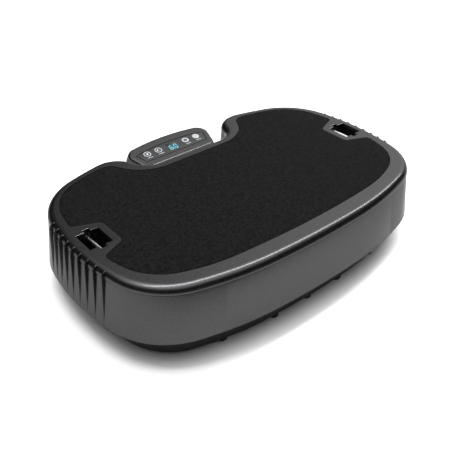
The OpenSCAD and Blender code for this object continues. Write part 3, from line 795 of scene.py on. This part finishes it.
# white ink: matt, and paler than any paint beside it
print_white = finish_of("white_symbol_print", "#dadbdc", "#efefef", 0.8 * mm, (0.4, 0.5), 0.002 * mm)
# polished steel bar: a bright line in the dark slot
bright_steel = finish_of("polished_steel_bar", "#c9cacc", "#e2e3e5", 1.5 * mm, (0.12, 0.24), 0.002 * mm,
                         more={"Metallic": 1.0})
# light bars that glow a little, in a blue green
digit_light = finish_of("cyan_led_bar", "#0b5a66", "#118092", 1.0 * mm, (0.4, 0.5), 0.0,
                        more={"Emission Color": linear("#2fa9bd"), "Emission Strength": 0.9})
print(len(bpy.data.materials), "materials so far")

# %% [markdown]
# The inside is only seen from below or with the cover off, but each material there is still named for
# what the part is made of.

# %% Finishes of the inner parts
# zinc plating: bright and slightly clouded
zinc = finish_of("zinc_plated_steel", "#8f9294", "#b4b8bb", 2.5 * mm, (0.25, 0.45), 0.004 * mm,
                 more={"Metallic": 1.0})
# hot rolled steel as it leaves the mill: darker and streaked
mill_steel = finish_of("mill_finish_steel", "#6c6e70", "#8b8e90", 6 * mm, (0.35, 0.6), 0.01 * mm,
                       more={"Metallic": 1.0})
# baked enamel: a deep grey with a soft gloss
enamel = finish_of("motor_enamel", "#2b2c2e", "#3a3b3d", 1.5 * mm, (0.35, 0.5), 0.01 * mm)
# sand cast aluminium: pale and pebbled
casting = finish_of("sand_cast_aluminium", "#8e9092", "#b3b5b7", 1.4 * mm, (0.45, 0.7), 0.08 * mm,
                    more={"Metallic": 1.0})
# ground steel: the smoothest metal here
ground = finish_of("ground_bearing_steel", "#a5a7a9", "#c4c6c8", 0.7 * mm, (0.15, 0.25), 0.002 * mm,
                   more={"Metallic": 1.0})
# a stack of iron sheets: brownish and finely ribbed
laminated = finish_of("laminated_iron", "#4a4744", "#67635e", 0.5 * mm, (0.4, 0.6), 0.03 * mm,
                      more={"Metallic": 0.9})
# enamelled copper: a warm lacquered red brown
copper = finish_of("enamelled_copper_wire", "#8a4a20", "#b9692f", 1.0 * mm, (0.25, 0.4), 0.15 * mm,
                   more={"Metallic": 0.8})
# plated brass pins: warm yellow glints
brass = finish_of("plated_brass_pin", "#b39346", "#d1b266", 1.0 * mm, (0.2, 0.35), 0.003 * mm,
                  more={"Metallic": 1.0})
# solder mask over copper: a mottled green film
board = finish_of("green_solder_mask", "#0f3a22", "#1c5a36", 1.8 * mm, (0.3, 0.45), 0.03 * mm)
# moulded epoxy of the electronic parts: matt black
component = finish_of("black_epoxy_case", "#121213", "#222224", 0.8 * mm, (0.45, 0.65), 0.03 * mm)

by_slot = {"graphite_shell": graphite, "black_base": moulded_black, "rocker_black": moulded_black,
           "black_rubber": rubber, "mat_foam": foam, "panel_grey": panel_grey, "display_lens": lens_black,
           "display_light": digit_light, "key_cap": key_pale, "bright_bar": bright_steel,
           "zinc_steel": zinc, "frame_steel": mill_steel, "motor_paint": enamel,
           "cast_aluminium": casting, "bearing_steel": ground, "core_iron": laminated,
           "copper_wire": copper, "pin_brass": brass, "circuit_board": board,
           "component_black": component}


def dress(thing, *materials):
    thing.data.materials.clear()
    for material in materials:
        thing.data.materials.append(material)


slot_of = {part["node"]: part["material_slot"] for part in frame["record"]["subparts"]}
for node, thing in frame["nodes"].items():
    dress(thing, by_slot[slot_of[node]])
print("dressed", len(slot_of), "nodes")

# %% Fit the new pieces to their bodies
def fit(thing, body, finish, slot, *nodes):
    """Gives a piece its finish and its body, and hides the nodes that it stands for. The slot is not used.
    """
    dress(thing, finish)
    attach(thing, body)
    if nodes:
        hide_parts(*nodes)


fit(cover, "platform", graphite, "graphite_shell", "top_cover")
fit(skirt, "platform", graphite, "graphite_shell", "side_skirt")
fit(fins, "platform", graphite, "graphite_shell")
fit(mat, "platform", foam, "mat_foam", "foot_mat")
fit(housing, "base", graphite, "graphite_shell", "console_housing")
# below its rounded edge the pod is given the black of the tray under it: painted shade for the pod's lower
# side
housing.data.materials.append(moulded_black)
for face in housing.data.polygons:
    arm = face.center - console_at
    flat_z = arm.z * math.cos(tilt) - arm.y * math.sin(tilt)
    face.material_index = 1 if flat_z < -edge_r else 0
fit(panel, "base", panel_grey, "panel_grey", "control_panel")
# the gasket in the gap takes the black plastic with painted shade
fit(gasket, "base", black_abs_painted_shade, "black_base")
fit(lens, "base", lens_black, "display_lens", "display_window")
fit(digits, "base", digit_light, "display_light")
fit(captions, "base", key_pale, "key_cap")
for node, thing in moulded.items():
    body = "switch_rocker" if node == "switch_rocker" else "platform" if node.startswith("strap") else "base"
    # the strap cups in the slots take the black plastic with painted shade
    finish = black_abs_painted_shade if node.startswith("strap") else rubber if node == "rubber_feet" else moulded_black
    fit(thing, body, finish, slot_of[node], node)
dress(mount_rubbers, rubber)
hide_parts("isolator_mounts")
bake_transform(mount_rubbers)


def dress_key(node, ring, middle):
    """Two finishes on one cap: faces nearer the middle than the ring take the second."""
    cap = caps[node]
    dress(cap, ring, middle)
    at = key_x[list(caps).index(node)]
    edge = {"start_key": 6.2, "program_key": 6.2, "intensity_key": 3.9, "time_key": 0}[node] * mm
    for face in cap.data.polygons:
        away = math.hypot(face.center.x - at, (face.center.y - console_at.y) / math.cos(tilt) - key_y)
        face.material_index = 1 if away < edge and face.normal.z > 0.5 else 0
    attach(cap, node)
    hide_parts(node)


dress_key("start_key", key_pale, key_dark)
dress_key("program_key", key_pale, key_dark)
dress_key("intensity_key", key_grey, key_dark)
dress_key("time_key", key_grey, key_dark)
for node, thing in symbols.items():
    fit(thing, node, print_white, "key_cap")

# %% [markdown]
# ## Floor, light and camera
# The machine stands on white paper under one long softbox, with a dark flag on the floor before it.
# The flag is what turns the foot of the rolled edge nearly black, and the softbox draws the bright
# line along it. The flag is seen by reflections only.

# %% Floor and flag
def sheet_of(name, size, at, turn=(0, 0, 0)):
    bpy.ops.object.select_all(action="DESELECT")
    bpy.ops.mesh.primitive_plane_add(size=1, location=at, rotation=turn)
    thing = bpy.context.object
    thing.name = name
    thing.scale = (size[0], size[1], 1)
    bpy.ops.object.transform_apply(location=True, rotation=True, scale=True)
    return thing


# matt paper: white without a highlight
paper = finish_of("matt_white_paper", "#f4f4f4", "#f7f7f7", 40 * mm, (0.9, 1.0), 0.0,
                  more={"Specular IOR Level": 0.1})
floor = sheet_of("paper_floor", (30, 30), (0, 0, 0))
dress(floor, paper)
# black cloth that swallows light
flag_cloth = finish_of("black_flag_cloth", "#020202", "#050505", 30 * mm, (0.95, 1.0), 0.0,
                       more={"Specular IOR Level": 0.0})
low_flag = sheet_of("low_flag", (7, 2.6), (0, -1.95, 0.004))
dress(low_flag, flag_cloth)
low_flag.visible_camera = False
low_flag.visible_diffuse = False
low_flag.visible_shadow = False

# %% Lights
def softbox(name, size, at, target, power):
    """A rectangular light that faces a point."""
    data = bpy.data.lights.new(name, "AREA")
    data.shape = "RECTANGLE"
    data.size, data.size_y = size
    data.energy = power
    lamp = bpy.data.objects.new(name, data)
    bpy.context.scene.collection.objects.link(lamp)
    lamp.location = at
    lamp.rotation_euler = (Vector(target) - Vector(at)).to_track_quat("-Z", "Y").to_euler()
    return lamp


softbox("long_softbox", (4.4, 0.2), (1.3, 0.1, 2.0), (1.3, 0.1, 0.0), 95)
world = bpy.data.worlds.new("dim_room_pale_ceiling")
bpy.context.scene.world = world
world.use_nodes = True
tree = world.node_tree
way = add(tree, "SeparateXYZ", {"Vector": add(tree, "TexCoord").outputs["Generated"]})
overhead = add(tree, "MapRange", {"Value": way.outputs["Z"], "From Min": 0.65, "From Max": 0.95,
                                  "To Max": 2.8})
to_right = add(tree, "MapRange", {"Value": way.outputs["X"], "From Min": 0.2, "From Max": 0.9,
                                  "To Max": 2.4}, interpolation_type="SMOOTHSTEP")
to_back = add(tree, "MapRange", {"Value": way.outputs["Y"], "From Min": -0.1, "From Max": 0.4})
window = add(tree, "Math", {0: to_right.outputs["Result"], 1: to_back.outputs["Result"]},
             operation="MULTIPLY")
both = add(tree, "Math", {0: overhead.outputs["Result"], 1: window.outputs["Value"]})
# seen directly, the room is as white as the paper
seen = add(tree, "Math", {0: both.outputs["Value"], 1: add(tree, "LightPath").outputs["Is Camera Ray"]},
           operation="MAXIMUM")
tree.nodes["Background"].inputs["Color"].default_value = (1, 1, 1, 1)
tree.links.new(seen.outputs["Value"], tree.nodes["Background"].inputs["Strength"])
bpy.context.scene.view_settings.view_transform = "Standard"

# %% Camera
camera_data = bpy.data.cameras.new("camera")
camera_data.lens = 52
camera = bpy.data.objects.new("camera", camera_data)
bpy.context.scene.collection.objects.link(camera)
camera.location = Vector((-663.3, -766.9, 609.5)) * mm + Vector((0, deck_y, top_z))
camera.rotation_euler = (math.radians(54.8), 0, math.radians(-39.7))
bpy.context.scene.camera = camera
print("camera at", [round(c, 3) for c in camera.location])
